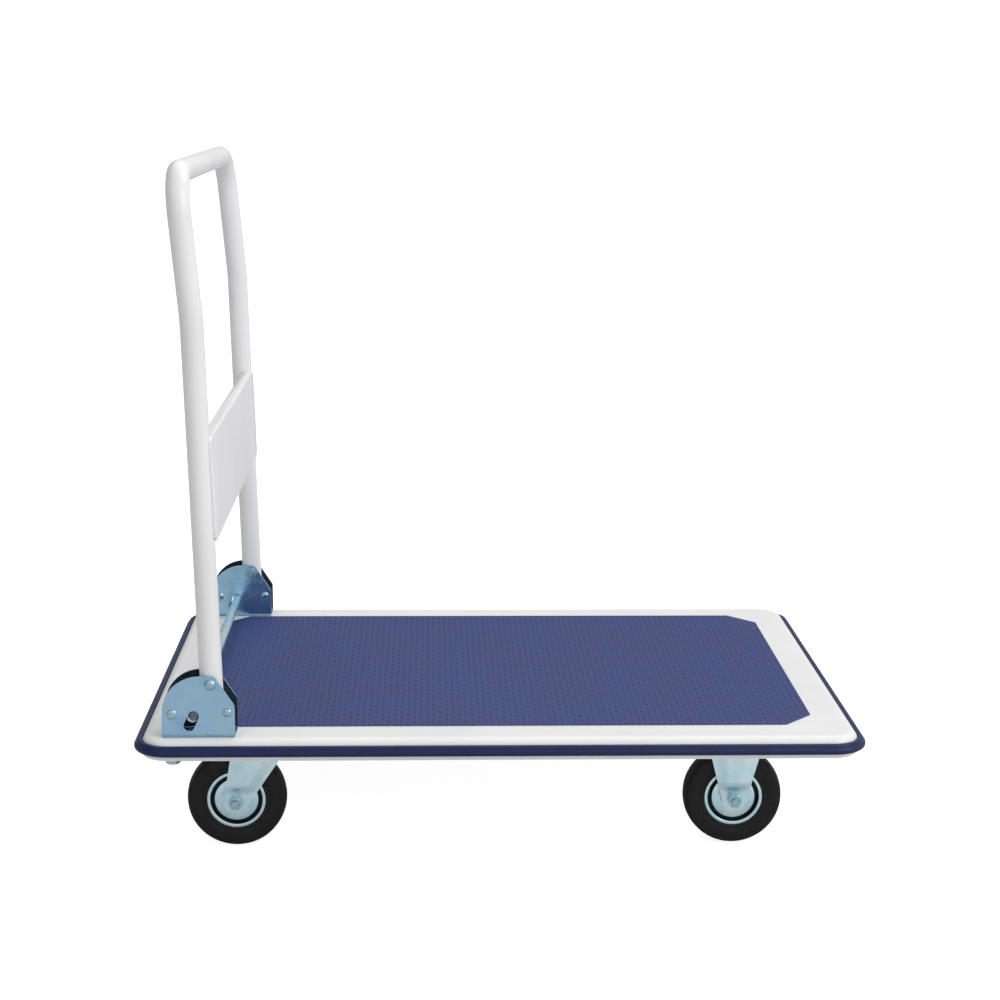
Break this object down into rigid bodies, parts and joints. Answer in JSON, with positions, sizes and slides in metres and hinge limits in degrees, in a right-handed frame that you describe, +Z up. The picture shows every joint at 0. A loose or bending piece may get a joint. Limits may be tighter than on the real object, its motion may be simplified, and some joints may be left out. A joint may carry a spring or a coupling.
{
  "type": "folding platform cart",
  "caption": "Four-wheeled platform cart with a flat matted deck and a tubular push handle that folds down onto it when a cross bar is pressed.",
  "frame": {"origin": "on the floor, under the middle of the deck", "axes": "+X along the deck, away from the push handle; +Y to the left of the person pushing; +Z up"},
  "size_m": [0.91, 0.61, 0.8545],
  "materials": {
    "white_powder_coat": "semi-gloss white powder coat",
    "blue_vinyl": "soft extruded vinyl, dark blue, slight sheen",
    "mat_vinyl": "embossed vinyl, dull blue",
    "blue_zinc": "blue passivated zinc plate",
    "bright_zinc": "bright zinc plate, pale blue",
    "black_rubber": "moulded black rubber",
    "plain_steel": "oiled plain steel"
  },
  "bodies": {
    "platform": {"bracket_bolt_left": "bright_zinc", "bracket_bolt_right": "bright_zinc", "deck_mat": "mat_vinyl", "deck_pan": "white_powder_coat", "deck_rail_left": "white_powder_coat", "deck_rail_right": "white_powder_coat", "edge_bumper": "blue_vinyl", "end_channel": "white_powder_coat", "fixed_caster_channel": "white_powder_coat", "fixed_fork_left": "bright_zinc", "fixed_fork_right": "bright_zinc", "fixed_left_axle_bolt": "bright_zinc", "fixed_left_axle_nut": "bright_zinc", "fixed_right_axle_bolt": "bright_zinc", "fixed_right_axle_nut": "bright_zinc", "front_spacer_left": "bright_zinc", "front_spacer_right": "bright_zinc", "handle_bracket_left": "blue_zinc", "handle_bracket_right": "blue_zinc", "king_pin_left": "plain_steel", "king_pin_right": "plain_steel", "pivot_bolt_left": "bright_zinc", "pivot_bolt_right": "bright_zinc", "pivot_nut_left": "bright_zinc", "pivot_nut_right": "bright_zinc", "rear_spacer_left": "bright_zinc", "rear_spacer_right": "bright_zinc", "release_spring_left": "plain_steel", "release_spring_right": "plain_steel", "swivel_caster_channel": "white_powder_coat", "swivel_plate_left": "bright_zinc", "swivel_plate_right": "bright_zinc"},
    "handle": {"handle_tube": "white_powder_coat", "handle_panel": "white_powder_coat", "pivot_sleeve_left": "plain_steel", "pivot_sleeve_right": "plain_steel"},
    "release_bar": {"release_bar": "bright_zinc"},
    "swivel_left": {"swivel_fork_left": "bright_zinc", "swivel_left_axle_bolt": "bright_zinc", "swivel_left_axle_nut": "bright_zinc"},
    "swivel_wheel_left": {"swivel_left_tyre": "black_rubber", "swivel_left_disc_outer": "bright_zinc", "swivel_left_disc_inner": "bright_zinc", "swivel_left_hub": "plain_steel"},
    "fixed_wheel_left": {"fixed_left_tyre": "black_rubber", "fixed_left_disc_outer": "bright_zinc", "fixed_left_disc_inner": "bright_zinc", "fixed_left_hub": "plain_steel"},
    "swivel_right": {"swivel_fork_right": "bright_zinc", "swivel_right_axle_bolt": "bright_zinc", "swivel_right_axle_nut": "bright_zinc"},
    "swivel_wheel_right": {"swivel_right_tyre": "black_rubber", "swivel_right_disc_outer": "bright_zinc", "swivel_right_disc_inner": "bright_zinc", "swivel_right_hub": "plain_steel"},
    "fixed_wheel_right": {"fixed_right_tyre": "black_rubber", "fixed_right_disc_outer": "bright_zinc", "fixed_right_disc_inner": "bright_zinc", "fixed_right_hub": "plain_steel"}
  },
  "joints": [
    {"name": "handle_fold", "type": "hinge", "parent": "platform", "child": "handle", "pos_m": [-0.3575, 0, 0.2275], "axis": [0, 1, 0], "range_deg": [0, 97]},
    {"name": "release_press", "type": "slide", "parent": "platform", "child": "release_bar", "axis": [-0.41, 0, -0.9121], "range_m": [0, 0.012], "stiffness_N_per_m": 1500, "springref_m": -0.006, "deforming": ["release_spring_left", "release_spring_right"]},
    {"name": "caster_swivel_left", "type": "hinge", "parent": "platform", "child": "swivel_left", "pos_m": [-0.298, 0.227, 0.145], "axis": [0, 0, 1], "continuous": true},
    {"name": "swivel_wheel_spin_left", "type": "hinge", "parent": "swivel_left", "child": "swivel_wheel_left", "pos_m": [-0.333, 0.227, 0.0625], "axis": [0, 1, 0], "continuous": true},
    {"name": "fixed_wheel_spin_left", "type": "hinge", "parent": "platform", "child": "fixed_wheel_left", "pos_m": [0.295, 0.227, 0.0625], "axis": [0, 1, 0], "continuous": true},
    {"name": "caster_swivel_right", "type": "hinge", "parent": "platform", "child": "swivel_right", "pos_m": [-0.298, -0.227, 0.145], "axis": [0, 0, 1], "continuous": true},
    {"name": "swivel_wheel_spin_right", "type": "hinge", "parent": "swivel_right", "child": "swivel_wheel_right", "pos_m": [-0.333, -0.227, 0.0625], "axis": [0, 1, 0], "continuous": true},
    {"name": "fixed_wheel_spin_right", "type": "hinge", "parent": "platform", "child": "fixed_wheel_right", "pos_m": [0.295, -0.227, 0.0625], "axis": [0, 1, 0], "continuous": true}
  ]
}
